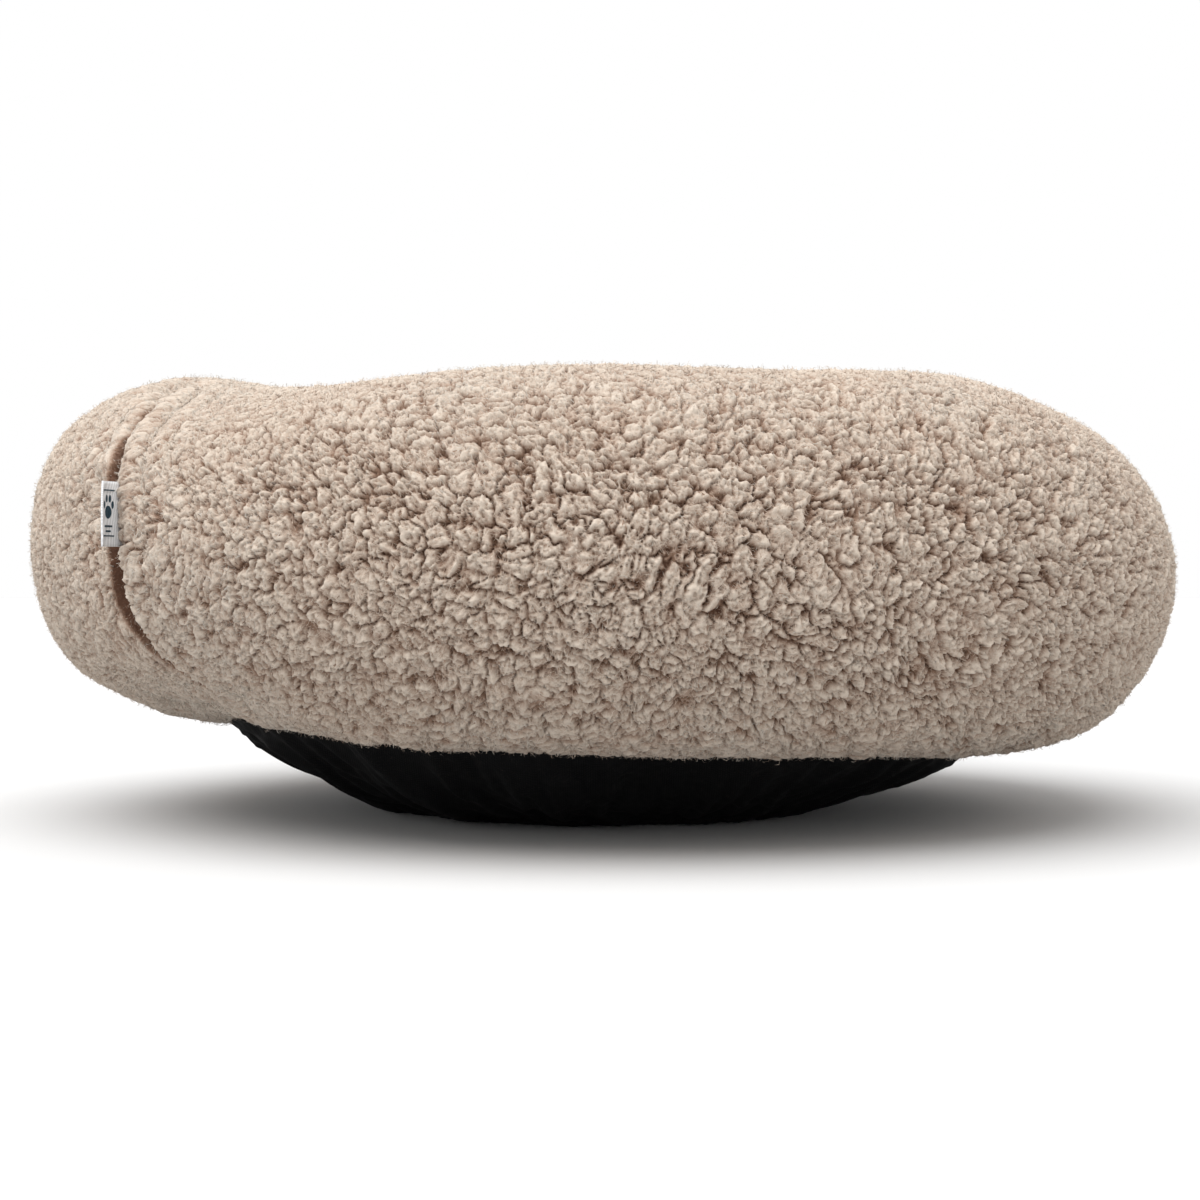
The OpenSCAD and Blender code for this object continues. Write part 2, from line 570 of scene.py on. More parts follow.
def fibre_materials():
    made = []
    for shade, tones in zip(("warm", "grey"), FIBRE_TONES, strict=True):
        for i, tone in enumerate(tones):
            m, _, shader = material(f"fleece_fibre_{shade}_{i}", 1.0, 0.08, 0.08)
            shader.inputs["Base Color"].default_value = linear(*tone)
            made.append(m)
    return made


def woven_material(name, colour, roughness, sheen, pitch, depth, specular):
    """A plain weave: threads at the given pitch, with a slight change of tone between them."""
    m, tree, shader = material(name, roughness, sheen, specular)
    waves = []
    for direction in ("X", "Y"):
        wave = tree.nodes.new("ShaderNodeTexWave")
        wave.bands_direction = direction
        wave.inputs["Scale"].default_value = 1 / pitch / WAVE_RATE * TAU
        wave.inputs["Distortion"].default_value = 0.4
        tree.links.new(coordinates(tree), wave.inputs["Vector"])
        waves.append(wave.outputs["Fac"])
    weave = math_node(tree, "MULTIPLY", waves[0], waves[1])
    cloud = noise_node(tree, 1 / (35 * MM))
    dark = tuple(c * 0.55 for c in colour[:3]) + (1.0,)
    ramp = ramp_node(tree, [(0.25, dark), (0.8, colour)])
    threads = math_node(tree, "MULTIPLY", weave, 0.5)
    clouds = math_node(tree, "MULTIPLY", cloud, 0.6)
    level = math_node(tree, "ADD", threads, clouds)
    tree.links.new(level, ramp.inputs["Fac"])
    tree.links.new(ramp.outputs["Color"], shader.inputs["Base Color"])
    bump(tree, shader, weave, depth)
    return m


def fibre_fill_material():
    m, tree, shader = material("fibre_fill", 0.9, 0.3)
    tuft = noise_node(tree, 1 / (8 * MM), 4)
    ramp = ramp_node(tree, [(0.3, linear(205, 203, 197)), (0.7, linear(244, 243, 240))])
    tree.links.new(tuft, ramp.inputs["Fac"])
    tree.links.new(ramp.outputs["Color"], shader.inputs["Base Color"])
    bump(tree, shader, tuft, 2 * MM)
    return m


# ---------------------------------------------------------------- the ring
def seam_drift(theta):
    """How far the cross seam has slipped round the ring at each tube angle, in radians."""
    turn = np.mod(theta, TAU)
    up = smooth_degrees(2, 95, np.where(turn > math.radians(270), turn - TAU, turn))
    back = smooth_degrees(150, 260, turn)
    down = smooth_degrees(-2, -55, wrapped(theta)) * (wrapped(theta) < 0)
    return SLIP_SIDE - SLIP_ABOVE * up * (1 - back) - SLIP_BELOW * down * (1 - back)


def bump_at(alpha, theta, middle, width):
    """A soft bulge of the tube, 1 at its middle. Places and widths are (ring angle, tube angle)."""
    return hump(wrapped(alpha - middle[0]), 0, width[0]) * hump(wrapped(theta - middle[1]), 0, width[1])


def ring_middle(alpha):
    """Height of the tube's middle: the ring leans down to the right."""
    return RING_Z + RING_LIFT - RIGHT_LEAN * clamp01(np.cos(alpha)) ** 2


def ring_half_height(alpha):
    """Half the tube's height: fuller on the right, pinched at the cross seam."""
    pinch = hump(wrapped(alpha - SEAM_ANGLE), PINCH_AT, PINCH_WIDTH)
    return RING_B + (1.5 * np.cos(alpha) + 1) * MM - SEAM_PINCH * pinch


def underside(alpha):
    """How far the ring's underside lies above its place in the CAD."""
    return ring_middle(alpha) - ring_half_height(alpha) - RING_Z + RING_B


def ring_point(u, theta, inset):
    """Places on the stuffed tube for ring angle u and tube angle theta."""
    alpha = u + seam_drift(theta) * hump(wrapped(u - SEAM_ANGLE), 0, 1.1)
    swell = LEFT_BULGE * bump_at(alpha, theta, (3.26, -0.70), (0.46, 0.45))
    swell += LEFT_SIDE * bump_at(alpha, theta, (3.49, 0.35), (0.40, 0.65))
    swell += LEFT_CREST * bump_at(alpha, theta, (3.30, 1.20), (0.45, 0.60))
    swell += LEFT_SHOULDER * bump_at(alpha, theta, (3.37, 0.70), (0.40, 0.40))
    swell += UNDER_SEAM * bump_at(alpha, theta, (3.64, -1.20), (0.30, 0.50))
    swell += UNDER_FRONT * bump_at(alpha, theta, (4.20, -1.30), (0.26, 0.50))
    swell += RIGHT_CREST * bump_at(alpha, theta, (-0.79, 1.35), (0.32, 0.60))
    swell += RIGHT_BULGE * bump_at(alpha, theta, (-0.31, -0.75), (0.40, 0.70))
    a = RING_A - inset + swell
    b = ring_half_height(alpha) - inset + swell
    r = RING_R + a * np.cos(theta)
    z = ring_middle(alpha) + b * np.sin(theta)
    return np.stack([r * np.cos(alpha), r * np.sin(alpha), z], -1)


def ring_angles(nu, nv):
    """Ring angles, counted from the cross seam on, and tube angles of a grid."""
    u = np.linspace(0, TAU, nu, endpoint=False) + SEAM_ANGLE
    v = np.linspace(0, TAU, nv, endpoint=False)
    return np.meshgrid(u, v, indexing="ij")


def ring_creases():
    """Cloth simulation of the stuffed tube, held at its cross seam and along its underside."""
    nu, nv = 200, 56
    uu, vv = ring_angles(nu, nv)
    start = ring_point(uu, vv, PILE + 3 * MM)
    normal = grid_normals(start, True)
    held = np.zeros((nu, nv), bool)
    held[0] = True
    held[:, nv * 3 // 4] = True
    drawn = start - normal * (held * 4 * MM)[..., None]
    faces = grid_faces(nu, nv, True)
    pinned = np.nonzero(held.ravel())[0]
    end = puffed(drawn.reshape(-1, 3), faces, pinned, pressure=1.0, growth=0.02)
    return creases(start, end.reshape(nu, nv, 3), normal, cap=5 * MM)


def seam_opening(theta):
    """How wide the cross seam's groove lies open at each tube angle, 0 to 1."""
    t = wrapped(theta)
    return hump(t, OPEN_AT, np.where(t > OPEN_AT, OPEN_ABOVE, OPEN_BELOW))


def opened(measure, opening):
    """A measure of the groove: what it is where closed, plus what opening adds."""
    return measure[0] + measure[1] * opening


def seam_profile(s, theta):
    """The cross seam's groove at signed distance s from it: how deep in it a point lies, 0 to 1.
    Its left side lies open, and its right side is a steep lip."""
    opening = seam_opening(theta)
    beyond = np.maximum(0, -s - opened(GROOVE_WALL, opening) * MM)
    left = np.exp(-((beyond / (opened(GROOVE_FALL, opening) * MM)) ** 2))
    right = hump(s, 0, 1.3 * MM)
    return np.where(s < 0, left, right)


def ring_strength(place, theta, from_seam):
    """How strongly the pile is curled: most on the outer face, less inside and underneath, on the
    panel left of the cross seam, right beside it and at the ring's right end."""
    t = wrapped(theta)
    outer = smooth(-1.35, -0.70, t) * (1 - smooth(0.45, 1.35, t))
    patch = 0.5 + 0.5 * noise(place, 70 * MM, SEED["patch"])
    strength = BRUSHED + (1 - BRUSHED) * outer * (0.75 + 0.4 * patch)
    left_panel = smooth_degrees(-120, -45, from_seam) * (from_seam < 0)
    near_seam = hump(from_seam, math.radians(5), math.radians(13)) * (from_seam >= 0)
    right_end = hump(from_seam, math.radians(142), math.radians(22))
    strength = strength * (1 - LEFT_PANEL_FLATTER * left_panel) * (1 - SEAM_FLATTER * near_seam)
    return strength * (1 - RIGHT_END_FLATTER * right_end)


def grid_fleece(place, normal, strength, closed):
    """The fleece's fields over a grid."""
    shape = place.shape[:2]
    along = np.roll(place, -1, 0) - place
    along /= np.linalg.norm(along, axis=-1, keepdims=True) + 1e-12
    across = np.cross(normal, along)
    flat = [v.reshape(-1, 3).astype(np.float32) for v in (place, along, across)]
    level, spin, reach, tone = in_parallel(fleece, *flat, strength.ravel())
    level = level.reshape(shape)
    return {
        "place": place,
        "normal": normal,
        "height": (MEAN_LEVEL + (level - MEAN_LEVEL) * strength * RELIEF) * PILE_HEIGHT,
        # The colour's level: low in the crevices, where it stands partly for painted shade, and raised
        # where the pile lies brushed flat
        "depth": clamp01(level * (0.65 + 0.35 * strength) + 0.3 * (1 - strength)),
        "strength": strength,
        "spin": spin.reshape(shape),
        "reach": reach.reshape(shape),
        "tone": tone.reshape(shape),
        "groove": np.zeros(shape),
        "share": np.ones(shape),
        "closed": closed,
    }


def make_ring():
    """The ring's grid with its fleece, and the groove of its cross seam let into it."""
    uu, vv = ring_angles(RING_STEPS, TUBE_STEPS)
    place = ring_point(uu, vv, PILE)
    place += finer(ring_creases(), RING_STEPS, TUBE_STEPS)
    normal = grid_normals(place, True)
    from_seam = wrapped(uu - SEAM_ANGLE)
    s = from_seam * (RING_R + RING_A * np.cos(vv))
    s += noise(place.reshape(-1, 3), 6 * MM, SEED["groove"]).reshape(s.shape) * (1.3 * MM)
    groove = seam_profile(s, vv)
    strength = ring_strength(place.reshape(-1, 3), vv.ravel(), from_seam.ravel()).reshape(uu.shape)
    grid = grid_fleece(place, normal, strength * (1 - GROOVE_FLATTER * groove), True)
    opening = seam_opening(vv)
    slope = np.where(s < 0, np.exp(-np.abs(s) / (14 * MM)), 0)
    lip = hump(s, 8 * MM, 6 * MM) * opened(GROOVE_LIP, opening)
    rise = lip - groove * opened(GROOVE_DEPTH, opening) - slope * 1.2 * opening
    grid["height"] += rise * MM
    # Painted shade: the groove's colour darkens where its shadow falls, on top of the exposed roots'
    # own darker colour
    grid["depth"] *= 1 - opened(GROOVE_PAINTED_SHADE, opening) * smooth(0.03, 0.30, groove)
    grid["groove"] = groove
    t = wrapped(vv)
    hidden = (t > -2.3) & (t < -1.75)
    grid["share"] = np.where(hidden, 0.05, 1.0) * (1 - GROOVE_THINNER * groove)
    return grid


def fibres(grid, count, rng):
    """Ribbons of pile that lie over the curls of a grid: points, triangles and tones."""
    nu, nv = grid["height"].shape
    closed = grid["closed"]
    place = grid["place"]
    step_u = np.roll(place, -1, 0) - place
    step_v = np.roll(place, -1, 1) - place
    if not closed:
        step_v[:, -1] = step_v[:, -2]
    cell_u = np.linalg.norm(step_u, axis=-1)
    cell_v = np.linalg.norm(step_v, axis=-1)
    weight = cell_u * cell_v * grid["share"] * (0.25 + 0.75 * grid["depth"])
    if not closed:
        weight[:, -1] = 0
    total = np.cumsum(weight.ravel())
    pick = np.searchsorted(total, np.sort(rng.random(count)) * total[-1])
    at = (pick // nv, pick % nv)
    fu = at[0] + rng.random(count)
    fv = at[1] + rng.random(count)
    size_u = cell_u[at]
    size_v = cell_v[at]
    reach = grid["reach"][at]
    tone = grid["tone"][at]
    groove = grid["groove"][at]
    fly = rng.random(count) < FLY_SHARE
    heading = grid["spin"][at] + rng.normal(0, 0.55, count)
    stray = fly | (rng.random(count) < STRAY_SHARE)
    heading = np.where(stray, rng.random(count) * TAU, heading)
    room = np.maximum(0.55 - reach, 0.12) * CURL + 0.6 * MM
    length = np.minimum(rng.uniform(*FIBRE_LENGTH, count) * MM, room * rng.uniform(0.8, 1.2, count))
    length *= 0.4 + 0.6 * grid["depth"][at]
    length = np.where(fly, rng.uniform(*FLY_LENGTH, count) * MM, length)
    length = length * (1 - GROOVE_THINNER * groove)
    bend = rng.normal(0, 0.9, count)
    stand = rng.uniform(*FIBRE_STAND, count) * MM
    stand = np.where(fly, rng.uniform(*FLY_STAND, count) * MM, stand) * (1 - 0.5 * groove)
    half = rng.uniform(*FIBRE_HALF, count) * MM
    half = np.where(fly, half * FLY_THINNER, half)
    steps = 3
    line, facing, deep = [], [], []
    pu = fu.copy()
    pv = fv.copy()
    for k in range(steps):
        t = k / (steps - 1)
        if k:
            turn = heading + bend * t
            pu = pu + np.cos(turn) * length / (steps - 1) / size_u
            pv = pv + np.sin(turn) * length / (steps - 1) / size_v
        n = sample(grid["normal"], pu, pv, closed)
        h = sample(grid["height"], pu, pv, closed)[:, 0]
        lift = -0.25 * MM * (1 - t) + stand * math.sin(t * math.pi * 0.62)
        line.append(sample(place, pu, pv, closed) + n * (h + lift)[:, None])
        facing.append(n)
        deep.append(sample(grid["depth"], pu, pv, closed)[:, 0])
    line = np.stack(line, 1)
    up = np.stack(facing, 1)
    tangent = np.gradient(line, axis=1)
    side = np.cross(tangent, up)
    side /= np.linalg.norm(side, axis=2)[..., None] + 1e-12
    roll = rng.normal(0, 0.5, count)[:, None, None]
    side = side * np.cos(roll) + up * np.sin(roll)
    offset = side[:, :2] * half[:, None, None] * np.array([0.85, 1.0])[None, :, None]
    points = np.empty((count, 5, 3), np.float32)
    points[:, 0:4:2] = line[:, :2] + offset
    points[:, 1:4:2] = line[:, :2] - offset
    points[:, 4] = line[:, 2]
    corners = np.array([[0, 1, 3], [0, 3, 2], [2, 3, 4]])
    faces = np.arange(count)[:, None, None] * 5 + corners
    # Tone follows the pile's depth along the fibre, darker at the root and lighter at the tip: partly
    # the fibres' own colour, partly painted shade in the crevices and the groove
    value = np.stack(deep, 1).mean(1) * 0.86 + 0.10
    value += rng.normal(0, 0.22, count) + (tone - 0.5) * 0.08
    # Painted highlight: loose flyaway fibres take lighter tones, standing for strands that catch the
    # light
    value = np.where(fly, value + 0.18, value)
    value = value[:, None] + np.array([-0.05, -0.05, 0.07])
    tones = np.clip((value * 5).astype(int), 0, 4)
    warmth = noise(line[:, 0].astype(np.float32), 45 * MM, SEED["warmth"])
    warmth = warmth + 2.5 * (grid["strength"][at] - 0.6)
    warm = warmth + rng.normal(0, 0.5, count) > 0
    tones += np.where(warm, 0, 5)[:, None]
    return points, faces, tones


def pile_pieces(name, grid, count, pieces, seed):
    """The fibres of a grid as a few pieces, because one would be too big a mesh."""
    points, faces, tones = fibres(grid, count, np.random.default_rng(seed))
    per_piece = count // pieces
    for i in range(pieces):
        part = slice(i * per_piece, (i + 1) * per_piece)
        piece = new_piece(
            f"{name}_{i}",
            points[part].reshape(-1, 3),
            faces[: per_piece].reshape(-1, 3),
            FIBRES,
        )
        piece.data.polygons.foreach_set("material_index", tones[part].ravel().astype(np.int32))


def ring_cover():
    """The ring's fleece cover and its pile."""
    grid = make_ring()
    points = grid["place"] + grid["normal"] * grid["height"][..., None]
    faces = grid_faces(RING_STEPS, TUBE_STEPS, True)
    piece = new_piece("ring_cover_fleece", points.reshape(-1, 3), faces, [FLEECE])
    give(piece, "depth", grid["depth"])
    lay_flat(piece, RING_STEPS, TUBE_STEPS, True)
    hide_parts("ring_cover")
    pile_pieces("ring_pile", grid, RING_FIBRES, PILE_PIECES, SEED["ring_pile"])


def ring_inside():
    """The fibre filling and the two seam allowances inside the ring's cover."""
    nu, nv = 300, 90
    uu, vv = ring_angles(nu, nv)
    place = ring_point(uu, vv, PILE + 13 * MM)
    normal = grid_normals(place, True)
    flat = place.reshape(-1, 3)
    tufts = noise(flat, 22 * MM, SEED["tuft"]) * 1.6 * MM
    tufts = tufts + noise(flat, 7 * MM, SEED["fine_tuft"]) * 0.8 * MM
    place += normal * tufts.reshape(nu, nv, 1)
    faces = grid_faces(nu, nv, True)
    filling = new_piece("ring_filling_fibre", place.reshape(-1, 3), faces, [FILL])
    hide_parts("ring_filling")

    v = np.linspace(0, TAU, 120, endpoint=False)
    outer = ring_point(np.full_like(v, SEAM_ANGLE), v, PILE + 8.6 * MM)
    inner = ring_point(np.full_like(v, SEAM_ANGLE), v, PILE + 11.8 * MM)
    seam = folded_strip("ring_cross_seam_allowance", outer, inner, 1.2 * MM)
    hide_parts("ring_cross_seam")

    u = np.linspace(0, TAU, 360, endpoint=False)
    low = ring_point(u, np.full_like(u, -math.pi / 2), PILE + 1.2 * MM)
    high = ring_point(u, np.full_like(u, -math.pi / 2), PILE + 11 * MM)
    seam = folded_strip("ring_long_seam_allowance", low, high, 1.2 * MM)
    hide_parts("ring_long_seam")


def folded_strip(name, edge_a, edge_b, half):
    """A closed band between two closed lines of points, as thick as twice half."""
    tangent = np.roll(edge_a, -1, 0) - np.roll(edge_a, 1, 0)
    across = edge_b - edge_a
    normal = np.cross(tangent, across)
    normal *= half / np.linalg.norm(normal, axis=1)[:, None]
    middle = (edge_a + edge_b) / 2
    loop = np.stack(
        [edge_a + normal * 0.6, middle + normal, edge_b + normal * 0.5]
        + [edge_b - normal * 0.5, middle - normal, edge_a - normal * 0.6],
        1,
    )
    faces = grid_faces(len(edge_a), 6, True)
    return new_piece(name, loop.reshape(-1, 3), faces, [ALLOWANCE])


# ---------------------------------------------------------------- the base cushion
def flank_radius(z):
    """Radius of the base's flank at height z."""
    part = 1 - (1 - z / SWELL_Z) ** FLANK_POWER
    return FLOOR_R + (SWELL_R - FLOOR_R) * part ** (1 / FLANK_POWER)


def under_ring_z(r):
    """Height of the even ring's underside at radius r."""
    return RING_Z - RING_B * np.sqrt(1 - ((r - RING_R) / RING_A) ** 2)


def crown_z(r):
    """Height of the cushion's upper surface: a crown in the well, then the hollow under the ring."""
    edge = under_ring_z(WELL_R)
    crown = edge + (CROWN_Z - edge) * (1 - (np.minimum(r, WELL_R) / WELL_R) ** CROWN_POWER)
    return np.where(r > WELL_R, under_ring_z(np.maximum(r, WELL_R)), crown)


def make_cushion():
    """The base cushion blown up in one go: a grid from the middle of its top over the rim to the
    middle of its floor patch, and how many of its rows belong to the top."""
    nu, top_rows, low_rows = 240, 26, 40
    tiny = 1.5 * MM
    rim_z = 43 * MM
    rim_r = flank_radius(rim_z) - TUCK
    r_top = np.linspace(tiny, rim_r, top_rows)
    tuck = smooth(RING_R - 20 * MM, rim_r, r_top)
    z_top = crown_z(np.minimum(r_top, RING_R)) * (1 - tuck) + rim_z * tuck
    k = np.linspace(1, 0, low_rows)
    z_low = rim_z * k**2.2
    r_low = flank_radius(z_low) - TUCK * smooth(12 * MM, 40 * MM, z_low)
    floor_rows = 12
    r_floor = np.linspace(FLOOR_R, tiny, floor_rows + 1)[1:]
    r = np.concatenate([r_top, r_low[1:], r_floor])
    z = np.concatenate([z_top, z_low[1:], np.zeros(floor_rows)])
    alpha = np.linspace(0, TAU, nu, endpoint=False)
    start = np.stack(
        [
            np.cos(alpha)[:, None] * r,
            np.sin(alpha)[:, None] * r,
            np.broadcast_to(z, (nu, len(z))),
        ],
        -1,
    )
    normal = -grid_normals(start, False)
    held = np.zeros(start.shape[:2], bool)
    under_ring = r > 122 * MM
    held[:, under_ring & (np.arange(len(r)) < top_rows)] = True
    faces = grid_faces(nu, len(r))
    pinned = np.nonzero(held.ravel())[0]
    end = puffed(start.reshape(-1, 3), faces, pinned, pressure=1.2, growth=0.035)
    moved = creases(start, end.reshape(start.shape), normal, cap=3.5 * MM)
    moved *= smooth(3 * MM, 35 * MM, r)[None, :, None]
    place = start + moved
    rim_share = smooth(0, rim_z, place[..., 2]) * smooth(80 * MM, 150 * MM, r)
    place[..., 2] += underside(alpha)[:, None] * rim_share
    return place, top_rows


def close_middle(place, row):
    """Draws a grid's first or last row together into the middle."""
    middle = place[:, row].mean(0)
    place[:, row] = middle + (place[:, row] - middle) * 0.02


def base_panel(place, first):
    """The woven underside, from the grid's row first on, resting flat on the floor."""
    rows = finer_rows(place[:, first:], 480, 110)
    nu, nv = rows.shape[:2]
    alpha = np.arctan2(rows[..., 1], rows[..., 0])
    r = np.linalg.norm(rows[..., :2], axis=-1)
    wander = noise(rows.reshape(-1, 3), 60 * MM, SEED["pleat"]).reshape(nu, nv)
    pleats = 41
    pleat = np.sin(alpha * pleats + 4 * wander)
    depth = 0.9 * MM * smooth(100 * MM, 160 * MM, r) * (0.4 + 0.6 * np.abs(np.sin(alpha * 3.5 + 1)))
    out = rows[..., :2] / r[..., None]
    rows[..., :2] += out * (pleat * depth)[..., None]
    rows[..., 2] = np.maximum(rows[..., 2], 0.4 * MM)
    close_middle(rows, -1)
    faces = grid_faces(nu, nv)
    piece = new_piece("base_panel_woven", rows.reshape(-1, 3), faces, [BLACK])
    lay_flat(piece, nu, nv, False)
    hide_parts("base_panel")
    return rows


def cushion_top(place, top_rows):
    """The fleece panel at the bottom of the well."""
    place = finer_rows(place[:, :top_rows], TOP_STEPS, TOP_ROWS)
    normal = grid_normals(place, False)
    r = np.linalg.norm(place[..., :2], axis=-1)
    place = place - normal * (PILE * (1 - 0.95 * smooth(120 * MM, 145 * MM, r)))[..., None]
    hem = smooth(118 * MM, 140 * MM, r)
    strength = 0.8 * (1 - 0.8 * hem)
    close_middle(place, 0)
    grid = grid_fleece(place, normal, strength, False)
    grid["height"] *= 1 - hem
    grid["share"] = np.where(r > 125 * MM, 0.0, 1.0)
    points = (place + normal * grid["height"][..., None]).reshape(-1, 3)
    faces = grid_faces(TOP_STEPS, TOP_ROWS)
    piece = new_piece("cushion_top_fleece", points, faces, [FLEECE])
    give(piece, "depth", grid["depth"])
    lay_flat(piece, TOP_STEPS, TOP_ROWS, False)
    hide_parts("cushion_top_panel")
    pile_pieces("cushion_pile", grid, TOP_FIBRES, 1, SEED["cushion_pile"])


def cushion_inside(place, top_rows):
    """The fibre in the base cushion and the seam allowance at its rim."""
    middle = np.array([0, 0, 24 * MM])
    nu = place.shape[0]
    rows = place[:, ::2].copy()
    shrunk = middle + (rows - middle) * np.array([0.88, 0.88, 0.62])
    faces = grid_faces(nu, rows.shape[1])
    piece = new_piece("cushion_filling_fibre", shrunk.reshape(-1, 3), faces, [FILL])
    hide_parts("cushion_filling")
    rim = place[:, top_rows - 1]
    edges = []
    for scale, drop in ((0.82, 15.5 * MM), (0.76, 16.5 * MM)):
        edge = rim.copy()
        edge[:, :2] *= scale
        edge[:, 2] -= drop
        edges.append(edge)
    seam = folded_strip("base_seam_allowance", *edges, 0.8 * MM)
    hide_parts("base_seam")


# ---------------------------------------------------------------- labels and stitches
def side_label_point(w, q, e):
    """A place on the side label: w up along the seam, q out of the seam, e across its layers."""
    theta = np.arcsin((LABEL_Z + w - RING_Z) / (RING_B - SEAM_PINCH))
    root = ring_point(SEAM_ANGLE, theta, LABEL_ROOT)
    root[..., 2] = LABEL_Z + RING_LIFT + w
    alpha = np.arctan2(root[..., 1], root[..., 0])
    lean = np.radians(22 + 10 * (q / LABEL_REACH) ** 2)
    flat = np.zeros_like(alpha)
    radial = np.stack([np.cos(alpha), np.sin(alpha), flat], -1)
    tangent = np.stack([-np.sin(alpha), np.cos(alpha), flat], -1)
    out = radial * np.cos(lean)[..., None] + tangent * np.sin(lean)[..., None]
    across = tangent * np.cos(lean)[..., None] - radial * np.sin(lean)[..., None]
    return root + out * q[..., None] + across * e[..., None]


def care_label_point(w, q, e):
    """A place on the care label: w along the base seam, q down from it, e across its layers."""
    alpha = REAR_ANGLE + w / RIM_R
    start_r = RIM_R + 2 * MM
    r = start_r + 4 * MM * (1 - np.exp(-q / (7 * MM))) + e + 0.6 * MM * np.sin(w / (5 * MM))
    z = RIM_Z + 5 * MM - q
    return np.stack([r * np.cos(alpha), r * np.sin(alpha), z], -1)


def folded_ribbon(name, point, width, reach):
    """A ribbon folded over at its free end, as one strip, and its flat length."""
    steps_w, steps_q, steps_turn = 22, 26, 9
    ws = np.linspace(-width / 2, width / 2, steps_w)
    q = np.linspace(0, reach - LAYER_GAP, steps_q)
    turn = np.linspace(-math.pi / 2, math.pi / 2, steps_turn)[1:-1]
    path_q = np.concatenate([q, reach - LAYER_GAP + LAYER_GAP * np.cos(turn), q[::-1]])
    layer = np.full(steps_q, LAYER_GAP)
    path_e = np.concatenate([-layer, LAYER_GAP * np.sin(turn), layer])
    ww, qq = np.meshgrid(ws, path_q, indexing="ij")
    _, ee = np.meshgrid(ws, path_e, indexing="ij")
    places = point(ww, qq, ee)
    faces = grid_faces(len(ws), len(path_q))[: (len(ws) - 1) * (len(path_q) - 1)]
    piece = new_piece(name, places.reshape(-1, 3), faces, [RIBBON])
    solid = piece.modifiers.new("thickness", "SOLIDIFY")
    solid.thickness = RIBBON_T
    solid.offset = 0
    return piece, 2 * reach


def disc(middle_w, middle_q, half_w, half_q):
    """Outline of an oval in the label's plane."""
    t = np.linspace(0, TAU, 28, endpoint=False)
    return middle_w + half_w * np.cos(t), middle_q + half_q * np.sin(t)


def bar(low_w, high_w, low_q, high_q):
    """Outline of a bar in the label's plane."""
    w = np.array([low_w, high_w, high_w, low_w])
    q = np.array([low_q, low_q, high_q, high_q])
    return w, q


def label_print():
    """A generic paw mark and two lines on the side label, in place of the real print."""
    middle = LABEL_REACH - 6.2 * MM
    marks = [disc(0.6 * MM, middle, 2.5 * MM, 3.0 * MM)]
    for step, height in ((-3.6, 3.4), (-1.4, 5.8), (1.4, 5.8), (3.6, 3.4)):
        marks.append(disc(height * MM, middle + step * MM, 1.5 * MM, 1.0 * MM))
    for low, half in ((-4.4, 3.6), (-6.3, 2.4)):
        marks.append(bar((low - 0.7) * MM, low * MM, middle - half * MM, middle + half * MM))
    frame_q = (middle - 4.9 * MM, middle + 4.9 * MM)
    for low, high in ((-8.7, -8.2), (8.8, 9.3)):
        marks.append(bar(low * MM, high * MM, *frame_q))
    marks.append(bar(-8.7 * MM, 9.3 * MM, frame_q[1], frame_q[1] + 0.5 * MM))
    points, faces = [], []
    for w, q in marks:
        e = np.full_like(w, LAYER_GAP + RIBBON_T / 2 + 0.04 * MM)
        faces.append(tuple(range(len(points), len(points) + len(w))))
        points += side_label_point(w, q, e).tolist()
    mesh = bpy.data.meshes.new("side_label_print")
    mesh.from_pydata(points, [], faces)
    mesh.materials.append(PRINT)
    return add_piece("side_label_print", mesh)


def labels():
    """The printed side label in the cross seam and the blank care label at the rear."""
    side, length = folded_ribbon("side_label_ribbon", side_label_point, LABEL_H, LABEL_REACH)
    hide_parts("side_label")
    label_print()
    width = care_high.z - care_low.z
    care, length = folded_ribbon("care_label_ribbon", care_label_point, width, CARE_REACH)
    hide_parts("care_label")


def tube(line, radius, sides):
    """A closed round tube along a line of points: its points and faces."""
    tangent = np.gradient(line, axis=0)
    tangent /= np.linalg.norm(tangent, axis=1)[:, None]
    side = np.cross(tangent, [0, 0, 1.0])
    side /= np.linalg.norm(side, axis=1)[:, None]
    up = np.cross(side, tangent)
    t = np.linspace(0, TAU, sides, endpoint=False)
    ends = np.sqrt(np.clip(1 - np.linspace(-1, 1, len(line)) ** 8, 0.04, 1)) * radius
    ring = side[:, None] * np.cos(t)[None, :, None] + up[:, None] * np.sin(t)[None, :, None]
    points = line[:, None] + ring * ends[:, None, None]
    n = len(line)
    faces = []
    for i in range(n - 1):
        for j in range(sides):
            k = (j + 1) % sides
            faces.append((i * sides + j, i * sides + k, (i + 1) * sides + k, (i + 1) * sides + j))
    faces.append(tuple(range(sides))[::-1])
    faces.append(tuple(range((n - 1) * sides, n * sides)))
    return points.reshape(-1, 3), faces


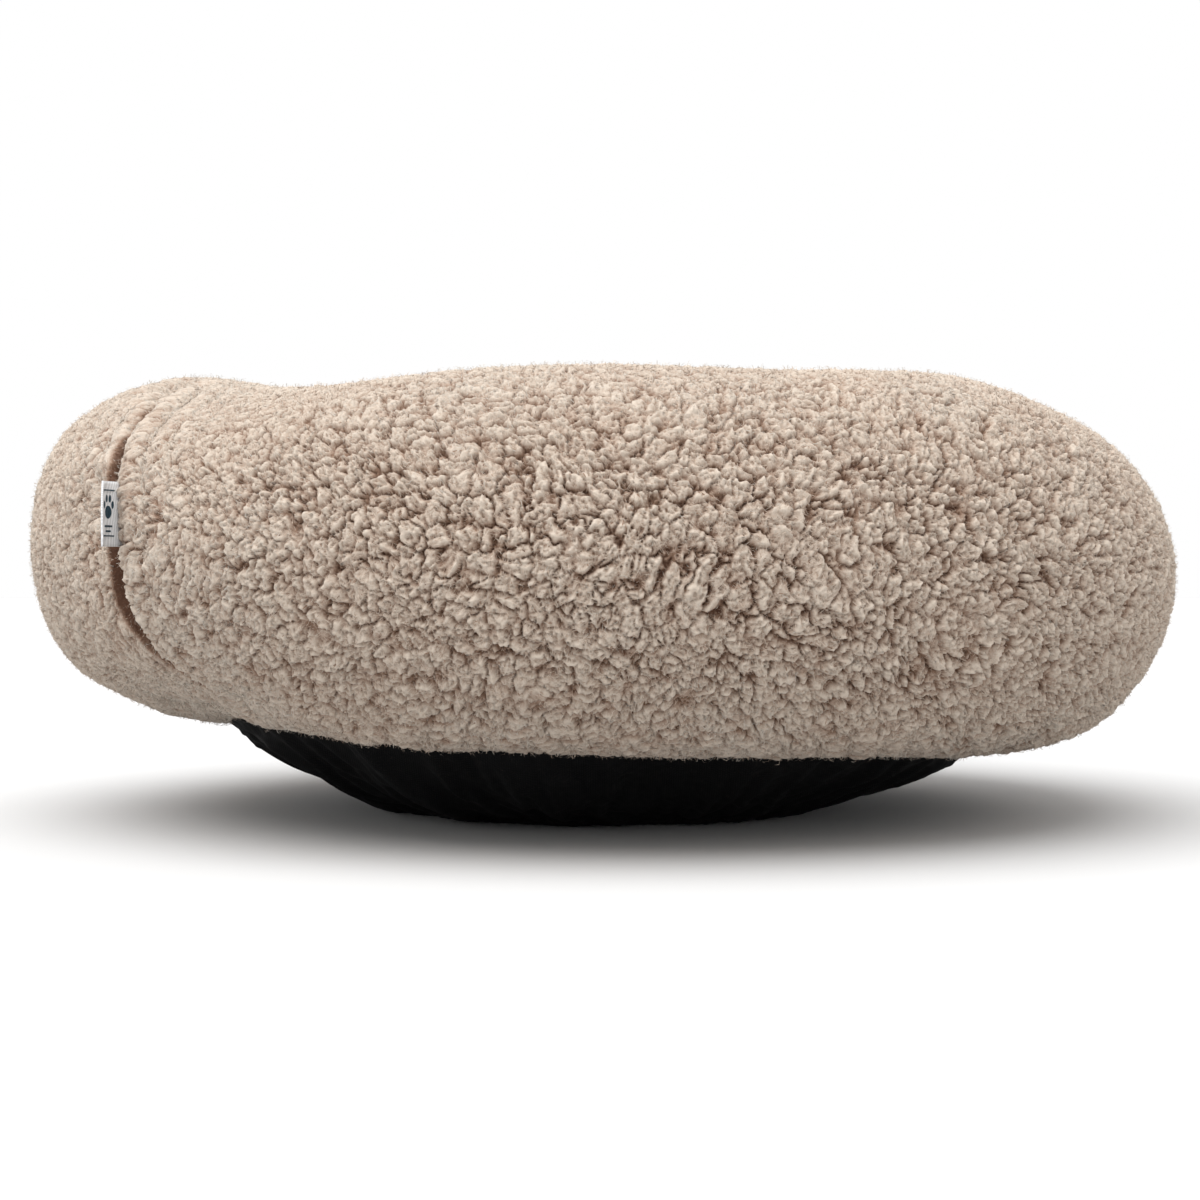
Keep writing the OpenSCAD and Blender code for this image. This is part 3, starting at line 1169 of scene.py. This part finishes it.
def closing_stitches(rows):
    """Hand stitches side by side along the base seam, where the stuffing gap was sewn up."""
    nu, nv = rows.shape[:2]
    points, faces = [], []
    for i in range(STITCHES):
        angle = REAR_ANGLE + (i - (STITCHES - 1) / 2) * STITCH_PITCH / RIM_R
        line = []
        for k in np.linspace(-0.5, 0.5, 9):
            turn = angle + k * 2.4 * MM / RIM_R
            column = rows[int(round(turn / TAU * nu)) % nu]
            z = RIM_Z - 1.5 * MM + underside(turn) + k * STITCH_L
            r = np.interp(z, column[::-1, 2], np.linalg.norm(column[::-1, :2], axis=1))
            r += THREAD_R * (1.6 - 6 * k * k)
            line.append((r * math.cos(turn), r * math.sin(turn), z))
        at = len(points)
        more, more_faces = tube(np.array(line), THREAD_R, 10)
        points += more.tolist()
        faces += [tuple(at + c for c in f) for f in more_faces]
    mesh = bpy.data.meshes.new("closing_stitches_thread")
    mesh.from_pydata(points, [], faces)
    mesh.polygons.foreach_set("use_smooth", [True] * len(faces))
    mesh.materials.append(THREAD)
    piece = add_piece("closing_stitches_thread", mesh)
    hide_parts("closing_stitches")


FLEECE = fleece_material()
FIBRES = fibre_materials()
FILL = fibre_fill_material()
BLACK = woven_material("black_woven", linear(20, 20, 21), 0.70, 0.0, 0.9 * MM, 0.12 * MM, 0.08)
THREAD = woven_material("black_thread", linear(24, 24, 25), 0.7, 0.0, 0.5 * MM, 0.1 * MM, 0.1)
ALLOWANCE = woven_material("fleece_backing", linear(150, 124, 104), 0.95, 0.1, 1.2 * MM, 0.2 * MM, 0.1)
RIBBON = woven_material("label_ribbon", linear(240, 242, 244), 0.45, 0.1, 0.6 * MM, 0.05 * MM, 0.3)
PRINT = woven_material("label_print", linear(38, 66, 80), 0.6, 0.0, 0.6 * MM, 0.05 * MM, 0.2)

ring_cover()
ring_inside()
cushion_place, cushion_top_rows = make_cushion()
base_rows = base_panel(cushion_place, cushion_top_rows - 1)
cushion_top(cushion_place, cushion_top_rows)
cushion_inside(cushion_place, cushion_top_rows)
labels()
closing_stitches(base_rows)

# ---------------------------------------------------------------- stage, light and camera
floor_mesh = bpy.data.meshes.new("floor")
floor_mesh.from_pydata([(-6, -6, 0), (6, -6, 0), (6, 6, 0), (-6, 6, 0)], [], [(0, 1, 2, 3)])
floor = bpy.data.objects.new("floor", floor_mesh)
bpy.context.scene.collection.objects.link(floor)
floor_material, _, floor_shader = material("floor", 0.9)
floor_shader.inputs["Base Color"].default_value = (0.58, 0.58, 0.58, 1)
floor_mesh.materials.append(floor_material)

world = bpy.data.worlds.new("studio")
bpy.context.scene.world = world
world.use_nodes = True
world.node_tree.nodes["Background"].inputs["Color"].default_value = (1, 1, 1, 1)
world.node_tree.nodes["Background"].inputs["Strength"].default_value = 1.0

sky_light = bpy.data.lights.new("overhead", "SUN")
sky_light.energy = 3.2
sky_light.angle = math.radians(70)
overhead = bpy.data.objects.new("overhead", sky_light)
bpy.context.scene.collection.objects.link(overhead)
overhead.location = (0, -0.5, 2)
overhead.rotation_euler = (math.radians(14), math.radians(-13), 0)

camera_data = bpy.data.cameras.new("camera")
camera = bpy.data.objects.new("camera", camera_data)
bpy.context.scene.collection.objects.link(camera)
bpy.context.scene.camera = camera
camera_data.sensor_width = 36
camera_data.lens = 75.6
camera_data.shift_x = -0.002
camera_data.shift_y = -0.033
camera_data.clip_start = 0.01
camera.location = (0, -1.125, RING_Z)
camera.rotation_euler = (math.radians(90), 0, 0)
bpy.context.scene.view_settings.view_transform = "Standard"
